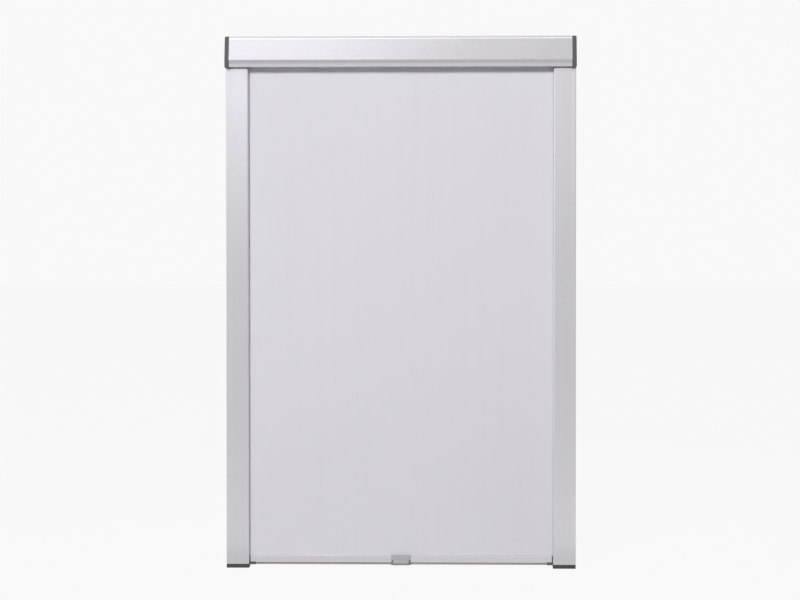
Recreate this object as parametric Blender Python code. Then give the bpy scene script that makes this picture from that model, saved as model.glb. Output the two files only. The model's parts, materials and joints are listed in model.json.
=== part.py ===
# Roller blind for a roof window: an aluminium cassette with a spring roller, a blackout fabric,
# a bottom bar with a finger grip, and two side rails in which the fabric and the bar run.
# Metres, +Z up. X runs across the blind and its front faces -Y. The origin lies on the sash plane,
# mid-width, at the middle of the cassette's upper back land.

import math

import bmesh
import bpy
import numpy as np
from mathutils import Vector

# Whole blind
overall_width = 0.613
overall_height = 0.9315
fit_gap = 0.0003  # between pieces that seat on each other
slide_gap = 0.0004  # around pieces that run on each other
fabric_plane = 0.013  # from the sash plane forward to the middle of the fabric
facet_sag = 0.00001  # how far a facet's middle may lie inside its round

# Cassette
header_height = 0.054
header_depth = 0.050
header_wall = 0.0014
face_height = 0.042  # from the top down to the edge over the cove
face_lean = 0.0105  # the face's top edge sits this far back from its lower edge
top_front_radius = 0.007
top_back_radius = 0.001
face_edge_radius = 0.0008
cove_height = 0.005
cove_depth = 0.003
cove_radius = 0.006
lip_set_back = 0.0006  # the lip's lower edge lies this far behind its upper edge
lip_radius = 0.0008
lip_return = 0.0106  # the flange under the lip
back_land = 0.010  # height of each back land that lies on the sash
hook_lip = 0.0025  # part of a land that the bracket hooks behind
channel_depth = 0.006
port_radius = 0.0019
port_wall = 0.0012
port_mouth = math.radians(28)
upper_port_inset = 0.0115  # from the sash plane
lower_port_inset = 0.0062  # from the lip's lower edge

# Cassette end caps
cap_thickness = 0.0072
cap_drop = 0.0016  # the caps reach this far below the cassette
cap_foot_radius = 0.004
cap_edge_radius = 0.0016
boss_radius = 0.0062
boss_length = 0.003
axle_socket = 0.004  # depth of the axle's socket in the cap's plate
rim_wall = 0.0016
rim_length = 0.005
rim_low = 0.004  # from the face's lower edge up to the cap's inner rib
rim_high = 0.011  # from the rib's top end up to the face's upper corner
tongue_length = 0.020
tongue_radius = 0.003
screw_radius = 0.0016
screw_head_radius = 0.003
screw_head_height = 0.0016
screw_head_chamfer = 0.0005
screw_recess = 0.0024
screw_length = 0.0138

# Clip brackets
bracket_width = 0.030
bracket_wall = 0.0012
bracket_inset = 0.099  # from the end cap to the bracket's middle
bracket_hole_radius = 0.0023
bracket_hole_spacing = 0.016
knee_start = 0.0015  # from the channel's mouth to the bracket's upper knee
knee_run = 0.0015
knee_radius = 0.0006

# Roller
tube_radius = 0.0125
tube_wall = 0.0012
rib_count = 3
rib_width = 0.0024
rib_height = 0.0012
flange_radius = 0.0136
flange_thickness = 0.002
plug_depth = 0.018
axle_play = 0.0005
axle_radius = 0.0025
shaft_radius = 0.003
shaft_flats = 0.0044  # across the flats of the shaft's tang
spring_wire_radius = 0.0007
spring_radius = 0.008
spring_length = 0.200
spring_turns = 20
spring_points = 10  # points to a turn
hub_length = 0.008
anchor_flange_radius = 0.0092
anchor_flange_thickness = 0.002
bearing_length = 0.008
wraps_left = 2  # turns of fabric that stay on the tube when the blind is drawn

# Fabric
fabric_thickness = 0.0004
wrap_gap = 0.0004
fabric_in_rail = 0.0046  # how far each edge reaches into its rail

# Side rails
rail_width = 0.040
rail_depth = 0.024
rail_wall = 0.0014
rail_inner_radius = 0.003
rail_outer_radius = 0.0012
slot_width = 0.008
throat_length = 0.005
guide_channel = 0.0142  # width of the channel that the bar's shoes run in
trim_groove_inset = 0.0075
trim_groove_width = 0.0006
trim_groove_depth = 0.0002
rail_hole_radius = 0.0021
rail_access_radius = 0.0038
rail_hole_count = 3
rail_hole_inset = 0.060
pile_base = 0.0007
pile_margin = 0.0007
pile_taper = 0.0004
foot_cap_height = 0.0066
foot_cap_edge = 0.0008
foot_plug_height = 0.014
foot_stop_height = 0.0025

# Bottom bar
bar_height = 0.0126
bar_depth = 0.010
bar_wall = 0.0011
bar_radius = 0.0012
bar_slot = 0.004
hem_groove_radius = 0.0019
hem_groove_depth = 0.0032  # from the bar's top to the groove's axis
hem_mouth = 0.0016
hem_tab = 0.0009
hem_weld = 0.0001  # how much the welded hem stands out from the tab
hem_stand = 0.0018  # the hem strip stands this far above the bar
seal_drop = 0.0038  # the seal reaches this far below the bar
seal_overhang = 0.0014  # and this far below the rails' lower ends
seal_bulb_width = 0.006
seal_bulb_height = 0.0015
seal_tip = 0.0022
guide_plate = 0.0009
guide_spigot = 0.012
guide_foot = 0.009
guide_foot_depth = 0.006
guide_toe = 0.0007  # thickness of the foot's upturned toe
guide_toe_height = 0.0012  # the toe covers this much of the bar's face
neck_width = 0.0024
neck_drop = 0.002  # the neck's top below the bar's top
shoe_height = 0.020
leaf_thickness = 0.0004
leaf_bow = 0.0009
leaf_length = 0.014
leaf_width = 0.006
leaf_pocket = 0.0006
grip_width = 0.0346
grip_wall = 0.0017
grip_reach = 0.0062  # the finger lip stands this far in front of the grip's plate
grip_lip = 0.0024
grip_lip_land = 0.0018  # the finger lip's level top, before the scoop rises
grip_cheek = 0.0009  # the thin walls at the grip's sides
grip_slit_width = 0.0021
grip_slit_height = 0.0089
grip_hook = 0.0018

# Places worked out from the dimensions above
half_width = overall_width / 2
header_top = back_land / 2
cap_inner = half_width - cap_thickness
bracket_place = cap_inner - bracket_inset
cap_bottom = header_top - header_height - cap_drop
rail_inner = half_width - rail_width
rail_top = cap_bottom - fit_gap
rail_bottom = header_top - overall_height + foot_cap_height + fit_gap
rail_length = rail_top - rail_bottom
slot_half = slot_width / 2
web_start = rail_wall + guide_channel
chamber_start = web_start + rail_wall
tube_bore = tube_radius - tube_wall
tube_half = cap_inner - boss_length - axle_play - flange_thickness - fit_gap
wrap_pitch = fabric_thickness + wrap_gap
wrap_inner = tube_radius + fit_gap + fabric_thickness / 2
wrap_outer = wrap_inner + wrap_pitch * wraps_left
roller_y = -fabric_plane - wrap_outer
roller_z = header_top - header_height / 2
fabric_half = rail_inner + fabric_in_rail
plug_radius = tube_bore - fit_gap
hub_radius = spring_radius * math.cos(math.pi / spring_points) - spring_wire_radius - fit_gap
plug_inner = -(tube_half - plug_depth)
spring_start = plug_inner + 2 * spring_wire_radius
spring_end = spring_start + spring_length
anchor_stop = spring_end + 2 * spring_wire_radius
bearing_start = anchor_stop + anchor_flange_thickness + axle_play
bar_underside = rail_bottom + seal_drop - seal_overhang
guide_outer = rail_inner - slide_gap
guide_inner = guide_outer - guide_plate
bar_half = guide_inner - fit_gap
hem_axis = bar_height - hem_groove_depth
hem_top = bar_underside + bar_height + hem_stand + hem_weld

# Finishes
aluminium_colour = (0.60, 0.60, 0.62, 1)
bar_colour = (0.55, 0.53, 0.54, 1)
plastic_colour = (0.075, 0.073, 0.077, 1)
grip_colour = (0.33, 0.32, 0.34, 1)
steel_colour = (0.50, 0.50, 0.50, 1)
zinc_colour = (0.62, 0.62, 0.60, 1)
nylon_colour = (0.70, 0.70, 0.68, 1)
fabric_colour = (0.68, 0.67, 0.71, 1)
rubber_colour = (0.20, 0.20, 0.20, 1)
pile_colour = (0.16, 0.16, 0.17, 1)


def clear_scene():
    for thing in list(bpy.data.objects):
        bpy.data.objects.remove(thing)


def finish(name, colour, roughness, metallic=0.0):
    material = bpy.data.materials.new(name)
    material.use_nodes = True
    shader = material.node_tree.nodes["Principled BSDF"]
    shader.inputs["Base Color"].default_value = colour
    shader.inputs["Roughness"].default_value = roughness
    shader.inputs["Metallic"].default_value = metallic
    material.diffuse_color = colour
    return material


def empty(name, place):
    marker = bpy.data.objects.new(name, None)
    marker.empty_display_size = 0.02
    marker.location = place
    bpy.context.scene.collection.objects.link(marker)
    return marker


def place_object(thing, place, parent):
    thing.location = place
    thing.parent = parent
    bpy.context.scene.collection.objects.link(thing)
    return thing


def piece(name, shape, material, place=(0, 0, 0), parent=None):
    mesh = bpy.data.meshes.new(name)
    shape.to_mesh(mesh)
    shape.free()
    mesh.materials.append(material)
    mesh.shade_smooth()
    mesh.set_sharp_from_angle(angle=math.radians(30))
    return place_object(bpy.data.objects.new(name, mesh), place, parent)


def shaped_by(body, shape, operation):
    # A hidden helper on the body's own origin that a Boolean adds to the body or cuts out of it.
    mesh = bpy.data.meshes.new(body.name + "_tool")
    shape.to_mesh(mesh)
    shape.free()
    helper = bpy.data.objects.new(body.name + "_tool", mesh)
    helper.hide_render = True
    helper.display_type = "WIRE"
    place_object(helper, body.location, body.parent)
    change = body.modifiers.new(operation.title(), "BOOLEAN")
    change.operation = operation
    change.solver = "EXACT"
    change.object = helper


def add(body, shape):
    shaped_by(body, shape, "UNION")


def cut(body, shape):
    shaped_by(body, shape, "DIFFERENCE")


def arc(centre, radius, start, stop, steps):
    angles = [start + (stop - start) * i / steps for i in range(steps + 1)]
    return [(centre[0] + radius * math.cos(a), centre[1] + radius * math.sin(a)) for a in angles]


def circle(centre, radius, steps=24):
    return arc(centre, radius, 0, math.tau * (1 - 1 / steps), steps - 1)


def sharp(points):
    return [(a, b, 0) for a, b in points]


def rounded(corners):
    # Fillets each corner (a, b, radius) of a closed outline, with facets that keep to the named sag.
    outline = []
    for i, (a, b, radius) in enumerate(corners):
        here = Vector((a, b))
        if radius <= 0:
            outline.append((a, b))
            continue
        before = (Vector(corners[i - 1][:2]) - here).normalized()
        after = (Vector(corners[(i + 1) % len(corners)][:2]) - here).normalized()
        half = math.acos(max(-1, min(1, before.dot(after)))) / 2
        centre = here + (before + after).normalized() * radius / math.sin(half)
        start = here + before * radius / math.tan(half) - centre
        stop = here + after * radius / math.tan(half) - centre
        first = math.atan2(start.y, start.x)
        sweep = math.remainder(math.atan2(stop.y, stop.x) - first, math.tau)
        steps = math.ceil(abs(sweep) / math.sqrt(8 * facet_sag / radius))
        outline += arc(centre, radius, first, first + sweep, steps)
    return outline


def box_corners(low, high, radius=0):
    return [
        (low[0], low[1], radius),
        (high[0], low[1], radius),
        (high[0], high[1], radius),
        (low[0], high[1], radius),
    ]


def parallel(path, distance):
    # The open path's corners, moved by the distance to the right of its travel.
    points = [Vector(corner[:2]) for corner in path]
    runs = [(b - a).normalized() for a, b in zip(points, points[1:])]
    moved = []
    for i, point in enumerate(points):
        behind, ahead = runs[max(i - 1, 0)], runs[min(i, len(runs) - 1)]
        right = Vector((behind.y, -behind.x))
        mitre = (right + Vector((ahead.y, -ahead.x))).normalized()
        shifted = point + mitre * distance / mitre.dot(right)
        turns_left = behind.x * ahead.y - behind.y * ahead.x > 0
        radius = path[i][2]
        if radius > 0:
            radius = max(radius + distance if turns_left else radius - distance, 0)
        moved.append((shifted.x, shifted.y, radius))
    return moved


def walled(path, wall):
    return path + parallel(path, wall)[::-1]


def extruded(loops, axis, start, stop):
    # The first loop is the outline and the others are holes, each in the plane square to the axis.
    turn = {
        "x": lambda a, b: (start, a, b),
        "y": lambda a, b: (a, start, b),
        "z": lambda a, b: (a, b, start),
    }
    along = {"x": Vector((1, 0, 0)), "y": Vector((0, 1, 0)), "z": Vector((0, 0, 1))}
    shape = bmesh.new()
    for loop in loops:
        ring = [shape.verts.new(turn[axis](a, b)) for a, b in loop]
        if len(loops) == 1:
            shape.faces.new(ring)
        else:
            for i, vert in enumerate(ring):
                shape.edges.new((ring[i - 1], vert))
    if len(loops) > 1:
        bmesh.ops.triangle_fill(shape, use_beauty=True, use_dissolve=False, edges=shape.edges[:])
    grown = bmesh.ops.extrude_face_region(shape, geom=shape.faces[:])
    moved = [part for part in grown["geom"] if isinstance(part, bmesh.types.BMVert)]
    bmesh.ops.translate(shape, verts=moved, vec=along[axis] * (stop - start))
    bmesh.ops.recalc_face_normals(shape, faces=shape.faces[:])
    return shape


def turned(profile, steps=24, centre=(0, 0)):
    # Spins a profile of (x, radius) about a line along X; it starts and ends on the line.
    shape = bmesh.new()
    points = [shape.verts.new((x, centre[0], centre[1] + radius)) for x, radius in profile]
    lines = [shape.edges.new(pair) for pair in zip(points, points[1:])]
    bmesh.ops.spin(
        shape,
        geom=points + lines,
        cent=(0, centre[0], centre[1]),
        axis=(1, 0, 0),
        dvec=(0, 0, 0),
        angle=math.tau,
        steps=steps,
        use_merge=True,
        use_duplicate=False,
    )
    bmesh.ops.remove_doubles(shape, verts=shape.verts[:], dist=1e-6)
    bmesh.ops.recalc_face_normals(shape, faces=shape.faces[:])
    return shape


def cylinder(start, stop, radius, steps=24, centre=(0, 0)):
    return turned([(start, 0), (start, radius), (stop, radius), (stop, 0)], steps, centre)


def gathered(shapes):
    together = bmesh.new()
    for shape in shapes:
        mesh = bpy.data.meshes.new("part")
        shape.to_mesh(mesh)
        shape.free()
        together.from_mesh(mesh)
        bpy.data.meshes.remove(mesh)
    return together


def bevel_rim(shape, axis, level, radius, segments=3):
    # Rounds the edges that border the flat face at this level along the axis.
    rim = [
        edge
        for edge in shape.edges
        if all(abs(vert.co[axis] - level) < 1e-6 for vert in edge.verts)
        and edge.calc_face_angle(0) > 0.5
    ]
    bmesh.ops.bevel(
        shape, geom=rim, offset=radius, segments=segments, profile=0.5, affect="EDGES", material=-1
    )


def front_path():
    # The cassette's outer surface from its lower flange over the lip, cove and face to the back.
    cove_y = cove_depth - header_depth
    lip_y = cove_y + lip_set_back
    return [
        (lip_y + lip_return, -header_height, 0),
        (lip_y, -header_height, lip_radius),
        (cove_y, -face_height - cove_height, cove_radius),
        (-header_depth, -face_height, face_edge_radius),
        (face_lean - header_depth, 0, top_front_radius),
        (0, 0, top_back_radius),
    ]


def port_centres():
    seat = header_wall + port_radius + port_wall / 4
    lip_y = front_path()[1][0]
    return [
        (-upper_port_inset, -seat),
        (lip_y + lower_port_inset, seat - header_height),
    ]


def screw_port(centre, opening):
    # A round channel for a screw, joined to the wall opposite its mouth.
    outer = port_radius + port_wall
    joint = math.acos((port_radius + port_wall / 4) / outer)
    return sharp(
        arc(centre, outer, opening + math.pi - joint, opening + port_mouth, 4)
        + arc(centre, port_radius, opening + port_mouth, opening + math.tau - port_mouth, 12)
        + arc(centre, outer, opening - port_mouth, opening - math.pi + joint, 4)
    )


def header_section():
    outside = front_path()
    inside = parallel(outside, header_wall)
    hook_top = back_land - hook_lip
    back = [
        (0, -back_land, 0),
        (-header_wall, -back_land, 0),
        (-header_wall, -hook_top, 0),
        (-channel_depth, -hook_top, 0),
    ]
    lower_back = [(y, -header_height - z, 0) for y, z, _ in reversed(back)]
    floor = channel_depth + header_wall
    step = hook_top - header_wall
    back_inside = [
        (-header_wall, -header_height, 0),
        (-header_wall, step - header_height, 0),
        (-floor, step - header_height, 0),
        (-floor, -step, 0),
        (-header_wall, -step, 0),
        (-header_wall, -header_wall, 0),
    ]
    upper_port, lower_port = port_centres()
    return rounded(
        outside
        + back
        + lower_back
        + [(0, -header_height, 0)]
        + back_inside
        + screw_port(upper_port, -math.pi / 2)
        + inside[4:0:-1]
        + screw_port(lower_port, math.pi / 2)
        + [inside[0]]
    )


def flat_sided(radius, across):
    # A round outline with two flats, above and below.
    reach = math.asin(across / 2 / radius)
    return arc((0, 0), radius, -reach, reach, 6) + arc((0, 0), radius, math.pi - reach, math.pi + reach, 6)


def moved_loop(loop, centre):
    return [(a + centre[0], b + centre[1]) for a, b in loop]


def make_header(cassette, material):
    length = cap_inner - fit_gap
    piece("header_profile", extruded([header_section()], "x", -length, length), material, parent=cassette)


def cap_outline():
    foot = -header_height - cap_drop
    return rounded(
        [
            (0, 0, top_back_radius),
            (0, foot, top_back_radius),
            (-header_depth, foot, cap_foot_radius),
            (-header_depth, -face_height, 0),
            (face_lean - header_depth, 0, top_front_radius),
        ]
    )


def cap_rim():
    # A rib that lies against the inside of the cassette's face.
    foot, top = (Vector(corner[:2]) for corner in front_path()[3:5])
    along = (top - foot).normalized()
    ends = [(*(foot + along * rim_low), 0), (*(top - along * rim_high), 0)]
    return rounded(walled(parallel(ends, header_wall + fit_gap), rim_wall))


def make_end_cap(side, name, cassette, material):
    axle = (roller_y, roller_z - header_top)
    plate = extruded([cap_outline()], "x", 0, side * cap_thickness)
    bevel_rim(plate, 0, side * cap_thickness, cap_edge_radius)
    cap = piece(name, plate, material, (side * cap_inner, 0, 0), cassette)

    embed = cap_thickness / 3
    add(cap, cylinder(side * embed, -side * boss_length, boss_radius, centre=axle))
    add(cap, extruded([cap_rim()], "x", side * embed, -side * rim_length))
    tongue = box_corners(
        (fit_gap + rail_wall - rail_depth, -header_height - cap_drop - tongue_length),
        (-fit_gap - rail_wall, -header_height - cap_drop + cap_edge_radius * 2),
        0,
    )
    tongue[0] = (*tongue[0][:2], tongue_radius)
    tongue[1] = (*tongue[1][:2], tongue_radius)
    outer = cap_thickness - rail_wall - fit_gap
    add(cap, extruded([rounded(tongue)], "x", side * fit_gap, side * outer))

    head_floor = cap_thickness - screw_recess
    hole = [
        (-side * fit_gap, 0),
        (-side * fit_gap, port_radius),
        (side * head_floor, port_radius),
        (side * head_floor, screw_head_radius + fit_gap),
        (side * (cap_thickness + fit_gap), screw_head_radius + fit_gap),
        (side * (cap_thickness + fit_gap), 0),
    ]
    holes = [turned(hole, 20, centre) for centre in port_centres()]
    if side < 0:
        socket = flat_sided(shaft_radius + fit_gap, shaft_flats + 2 * fit_gap)
    else:
        socket = circle((0, 0), axle_radius + fit_gap)
    mouth = -side * (boss_length + fit_gap)
    holes.append(extruded([moved_loop(socket, axle)], "x", mouth, side * axle_socket))
    cut(cap, gathered(holes))


def make_cap_screws(side, word, cassette, material):
    for level, (y, z) in zip(("upper", "lower"), port_centres()):
        seat = cap_thickness - screw_recess + fit_gap
        point = seat - screw_length
        top = seat + screw_head_height
        screw = [
            (side * point, 0),
            (side * point, screw_radius / 2),
            (side * (point + screw_radius), screw_radius),
            (side * seat, screw_radius),
            (side * seat, screw_head_radius),
            (side * (top - screw_head_chamfer), screw_head_radius),
            (side * top, screw_head_radius - screw_head_chamfer),
            (side * top, 0),
        ]
        place = (side * cap_inner, y, z)
        piece(f"cap_screw_{word}_{level}", turned(screw, 16), material, place, cassette)


def make_bracket(side, word, cassette, material):
    middle = -header_height / 2
    mouth = header_height / 2 - back_land
    hook_y = -header_wall - fit_gap
    upper = [
        (hook_y, mouth + hook_lip - fit_gap, 0),
        (hook_y, mouth - knee_start, knee_radius),
        (0, mouth - knee_start - knee_run, knee_radius),
    ]
    lower = [(y, -z, radius) for y, z, radius in reversed(upper)]
    section = rounded(walled([(y, middle + z, radius) for y, z, radius in upper + lower], bracket_wall))
    shape = extruded([section], "x", -bracket_width / 2, bracket_width / 2)
    bracket = piece(
        f"mounting_bracket_{word}", shape, material, (side * bracket_place, 0, 0), cassette
    )
    spread = bracket_hole_spacing / 2
    drills = [
        extruded([circle((x, middle), bracket_hole_radius, 16)], "y", -2 * bracket_wall, fit_gap)
        for x in (-spread, spread)
    ]
    cut(bracket, gathered(drills))


def ribbed_circle(radius, depth, width):
    # A circle with flat-bottomed notches (or ribs, seen from inside) spaced evenly round it.
    outline = []
    half = width / 2 / radius
    for i in range(rib_count):
        middle = math.tau * i / rib_count
        following = middle + math.tau / rib_count
        outline += arc((0, 0), radius - depth, middle - half, middle + half, 2)
        outline += arc((0, 0), radius, middle + half, following - half, 12)
    return outline


def plug_barrel(start, stop):
    notched = ribbed_circle(plug_radius, rib_height, rib_width + 2 * fit_gap)
    return extruded([notched], "x", start, stop)


def make_roller(axis, aluminium, nylon):
    bore = ribbed_circle(tube_bore, rib_height, rib_width)
    tube = extruded([circle((0, 0), tube_radius, 48), bore], "x", -tube_half, tube_half)
    piece("roller_tube", tube, aluminium, parent=axis)

    embed = flange_thickness / 2
    flange_end = tube_half + fit_gap + flange_thickness
    shaft_bore = shaft_radius + slide_gap
    barrel = plug_barrel(-tube_half - fit_gap - embed, plug_inner)
    drive = piece("drive_end_plug", barrel, nylon, parent=axis)
    add(drive, cylinder(-flange_end, -tube_half - fit_gap, flange_radius, 32))
    add(drive, cylinder(plug_inner - embed, plug_inner + hub_length, hub_radius))
    cut(drive, cylinder(-flange_end - embed, plug_inner + hub_length + embed, shaft_bore))

    idle_end = tube_half - plug_depth
    idle = piece("idle_end_plug", plug_barrel(idle_end, tube_half + fit_gap + embed), nylon, parent=axis)
    add(idle, cylinder(tube_half + fit_gap, flange_end, flange_radius, 32))
    cut(idle, cylinder(idle_end + flange_thickness, flange_end + embed, axle_radius + slide_gap))

    bearing_end = bearing_start + bearing_length
    bearing = piece("shaft_bearing", plug_barrel(bearing_start, bearing_end), nylon, parent=axis)
    cut(bearing, cylinder(bearing_start - embed, bearing_end + embed, shaft_bore))


def make_axles(axis, steel, nylon):
    socket = cap_inner + axle_socket - fit_gap
    pin_end = tube_half - plug_depth + flange_thickness + slide_gap
    chamfer = axle_radius / 5
    pin = [
        (pin_end, 0),
        (pin_end, axle_radius - chamfer),
        (pin_end + chamfer, axle_radius),
        (socket - chamfer, axle_radius),
        (socket, axle_radius - chamfer),
        (socket, 0),
    ]
    piece("idle_pin", turned(pin), steel, parent=axis)

    tang_end = -cap_inner + boss_length + axle_play / 2
    shaft = cylinder(tang_end, bearing_start + bearing_length, shaft_radius)
    rod = piece("spring_shaft", shaft, steel, parent=axis)
    tang = extruded([flat_sided(shaft_radius, shaft_flats)], "x", -socket, tang_end + shaft_radius)
    add(rod, tang)

    flange_end = anchor_stop + anchor_flange_thickness
    hub = [
        (anchor_stop - hub_length, 0),
        (anchor_stop - hub_length, hub_radius),
        (anchor_stop, hub_radius),
        (anchor_stop, anchor_flange_radius),
        (flange_end, anchor_flange_radius),
        (flange_end, 0),
    ]
    anchor = piece("spring_anchor", turned(hub), nylon, parent=axis)
    cut(anchor, cylinder(anchor_stop - hub_length - fit_gap, flange_end + fit_gap, shaft_radius + fit_gap))


def make_spring(axis, steel):
    count = spring_turns * spring_points + 1
    turn = np.linspace(0, math.tau * spring_turns, count)
    xs = np.linspace(spring_start, spring_end, count)
    points = np.stack([xs, spring_radius * np.cos(turn), spring_radius * np.sin(turn)], axis=1)
    curve = bpy.data.curves.new("torsion_spring", "CURVE")
    curve.dimensions = "3D"
    curve.bevel_depth = spring_wire_radius
    curve.bevel_resolution = 1
    curve.use_fill_caps = True
    curve.materials.append(steel)
    spline = curve.splines.new("POLY")
    spline.points.add(count - 1)
    for knot, (x, y, z) in zip(spline.points, points):
        knot.co = (x, y, z, 1)
    place_object(bpy.data.objects.new("torsion_spring", curve), (0, 0, 0), axis)
    next_turn = np.linalg.norm(points[spring_points:] - points[:-spring_points], axis=1).min()
    print(f"least gap between the spring's turns {(next_turn - 2 * spring_wire_radius) * 1000:.2f} mm")


def make_fabric_roll(axis, fabric):
    # The turns left on the tube, a spiral that ends where the fabric hangs off the roller's back.
    steps = 24 * wraps_left
    outer, inner = [], []
    for i in range(steps + 1):
        angle = math.tau * wraps_left * i / steps
        middle = wrap_outer - wrap_pitch * angle / math.tau
        for side, half in ((outer, fabric_thickness / 2), (inner, -fabric_thickness / 2)):
            side.append(((middle + half) * math.cos(angle), (middle + half) * math.sin(angle)))
    spiral = extruded([outer + inner[::-1]], "x", -fabric_half, fabric_half)
    piece("fabric_roll", spiral, fabric, parent=axis)
    print(f"least gap between the fabric's turns {wrap_gap * 1000:.2f} mm")


def make_fabric_sheet(fabric):
    top = roller_z - fit_gap
    section = box_corners((-fabric_thickness / 2, 0), (fabric_thickness / 2, hem_top + fit_gap - top))
    shape = extruded([rounded(section)], "x", -fabric_half, fabric_half)
    piece("fabric_sheet", shape, fabric, (0, -fabric_plane, top))


def rail_section(side):
    front, back = -rail_depth, 0
    slot_front, slot_back = -fabric_plane - slot_half, -fabric_plane + slot_half
    groove = rail_width - trim_groove_inset
    outline = [
        (0, front, rail_inner_radius),
        (groove - trim_groove_width / 2, front, 0),
        (groove, front + trim_groove_depth, 0),
        (groove + trim_groove_width / 2, front, 0),
        (rail_width, front, rail_outer_radius),
        (rail_width, back, rail_outer_radius / 2),
        (0, back, rail_outer_radius / 2),
        (0, slot_back, rail_wall / 4),
        (throat_length, slot_back, 0),
        (throat_length, slot_back + rail_wall, 0),
        (rail_wall, slot_back + rail_wall, 0),
        (rail_wall, back - rail_wall, 0),
        (web_start, back - rail_wall, 0),
        (web_start, front + rail_wall, 0),
        (rail_wall + rail_inner_radius, front + rail_wall, 0),
        (rail_wall, front + rail_wall + rail_inner_radius / 2, 0),
        (rail_wall, slot_front - rail_wall, 0),
        (throat_length, slot_front - rail_wall, 0),
        (throat_length, slot_front, 0),
        (0, slot_front, rail_wall / 4),
    ]
    chamber = box_corners(
        (chamber_start, front + rail_wall), (rail_width - rail_wall, back - rail_wall), rail_wall / 2
    )
    return [[(side * u, y) for u, y in rounded(loop)] for loop in (outline, chamber)]


def rail_hole_levels():
    span = rail_length - 2 * rail_hole_inset
    return [rail_hole_inset + span * i / (rail_hole_count - 1) for i in range(rail_hole_count)]


def make_rail(side, word, material):
    shape = extruded(rail_section(side), "z", 0, rail_length)
    rail = piece(f"side_rail_{word}", shape, material, (side * rail_inner, 0, rail_bottom))
    step = (chamber_start + rail_width) / 2
    drill = [
        (side * (web_start - rail_wall), 0),
        (side * (web_start - rail_wall), rail_access_radius),
        (side * step, rail_access_radius),
        (side * step, rail_hole_radius),
        (side * (rail_width + rail_wall), rail_hole_radius),
        (side * (rail_width + rail_wall), 0),
    ]
    cut(rail, gathered([turned(drill, 16, (-fabric_plane, level)) for level in rail_hole_levels()]))


def make_pile_seal(side, word, facing, material):
    # A strip of pile on one cheek of the rail's slot; facing is -1 on the front cheek.
    cheek = facing * (slot_half - fit_gap)
    base = cheek - facing * pile_base
    tip = facing * (neck_width / 2 + fit_gap)
    section = [
        (fit_gap, cheek, 0),
        (throat_length - fit_gap, cheek, 0),
        (throat_length - fit_gap, base, 0),
        (throat_length - fit_gap - pile_margin, base, 0),
        (throat_length - fit_gap - pile_margin - pile_taper, tip, 0),
        (fit_gap + pile_margin + pile_taper, tip, 0),
        (fit_gap + pile_margin, base, 0),
        (fit_gap, base, 0),
    ]
    shape = extruded([[(side * u, y) for u, y in rounded(section)]], "z", 0, rail_length)
    name = f"pile_seal_{word}_{'front' if facing < 0 else 'back'}"
    piece(name, shape, material, (side * rail_inner, -fabric_plane, rail_bottom))


def make_foot_cap(side, word, material):
    plan = [
        (0, -rail_depth, rail_inner_radius),
        (rail_width, -rail_depth, rail_outer_radius),
        (rail_width, 0, rail_outer_radius / 2),
        (0, 0, rail_outer_radius / 2),
    ]
    outline = [(side * u, y) for u, y in rounded(plan)]
    plate = extruded([outline], "z", 0, foot_cap_height)
    bevel_rim(plate, 2, 0, foot_cap_edge, 2)
    place = (side * rail_inner, 0, rail_bottom - fit_gap - foot_cap_height)
    cap = piece(f"rail_foot_cap_{word}", plate, material, place)

    inset = rail_wall + fit_gap
    embed = foot_cap_height / 2
    plug = box_corners(
        (chamber_start + fit_gap, inset - rail_depth), (rail_width - inset, -inset), rail_wall
    )
    plug_top = foot_cap_height + foot_plug_height
    shape = extruded([[(side * u, y) for u, y in rounded(plug)]], "z", embed, plug_top)
    bevel_rim(shape, 2, plug_top, foot_cap_edge, 1)
    add(cap, shape)
    stop = box_corners(
        (throat_length + fit_gap, inset - rail_depth), (web_start - fit_gap, -inset), rail_wall / 2
    )
    pad = [(side * u, y) for u, y in rounded(stop)]
    add(cap, extruded([pad], "z", embed, foot_cap_height + foot_stop_height))


def bar_section():
    half = bar_depth / 2
    mouth = hem_mouth / 2
    throat = math.asin(mouth / hem_groove_radius)
    ring = hem_groove_radius + bar_wall
    ring_joint = math.asin((hem_groove_depth - bar_wall) / ring)
    groove_centre = (0, hem_axis)
    right, turn = math.pi / 2, math.tau
    outside = [(-bar_slot / 2, 0, 0), (-half, 0, bar_radius), (-half, bar_height, bar_radius)]
    inside = [
        (-bar_slot / 2, bar_wall, 0),
        (bar_wall - half, bar_wall, 0),
        (bar_wall - half, bar_height - bar_wall, 0),
    ]
    groove = arc(groove_centre, hem_groove_radius, right + throat, turn + right - throat, 14)
    ring_arc = arc(groove_centre, ring, ring_joint, -math.pi - ring_joint, 10)
    return rounded(
        outside
        + [(-mouth, bar_height, 0)]
        + sharp(groove)
        + [(mouth, bar_height, 0)]
        + [(-y, z, radius) for y, z, radius in reversed(outside)]
        + [(-y, z, radius) for y, z, radius in inside]
        + sharp(ring_arc)
        + inside[::-1]
    )


def make_bottom_bar(carriage, material):
    piece("bottom_bar", extruded([bar_section()], "x", -bar_half, bar_half), material, parent=carriage)


def make_hem_strip(carriage, material):
    bulb = hem_groove_radius - fit_gap
    half = hem_tab / 2
    lean = math.asin(half / bulb)
    right = math.pi / 2
    section = arc((0, hem_axis), bulb, right + lean, math.tau + right - lean, 12)
    top = bar_height + hem_stand
    section += [(half, top), (-half, top)]
    hem = piece("hem_strip", extruded([section], "x", -bar_half, bar_half), material, parent=carriage)

    # Above the bar the welded hem is as wide as the fabric, and reaches into the rails.
    weld = half + hem_weld
    band = box_corners((-weld, bar_height + fit_gap), (weld, top + hem_weld))
    add(hem, extruded([rounded(band)], "x", -fabric_half, fabric_half))


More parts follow.
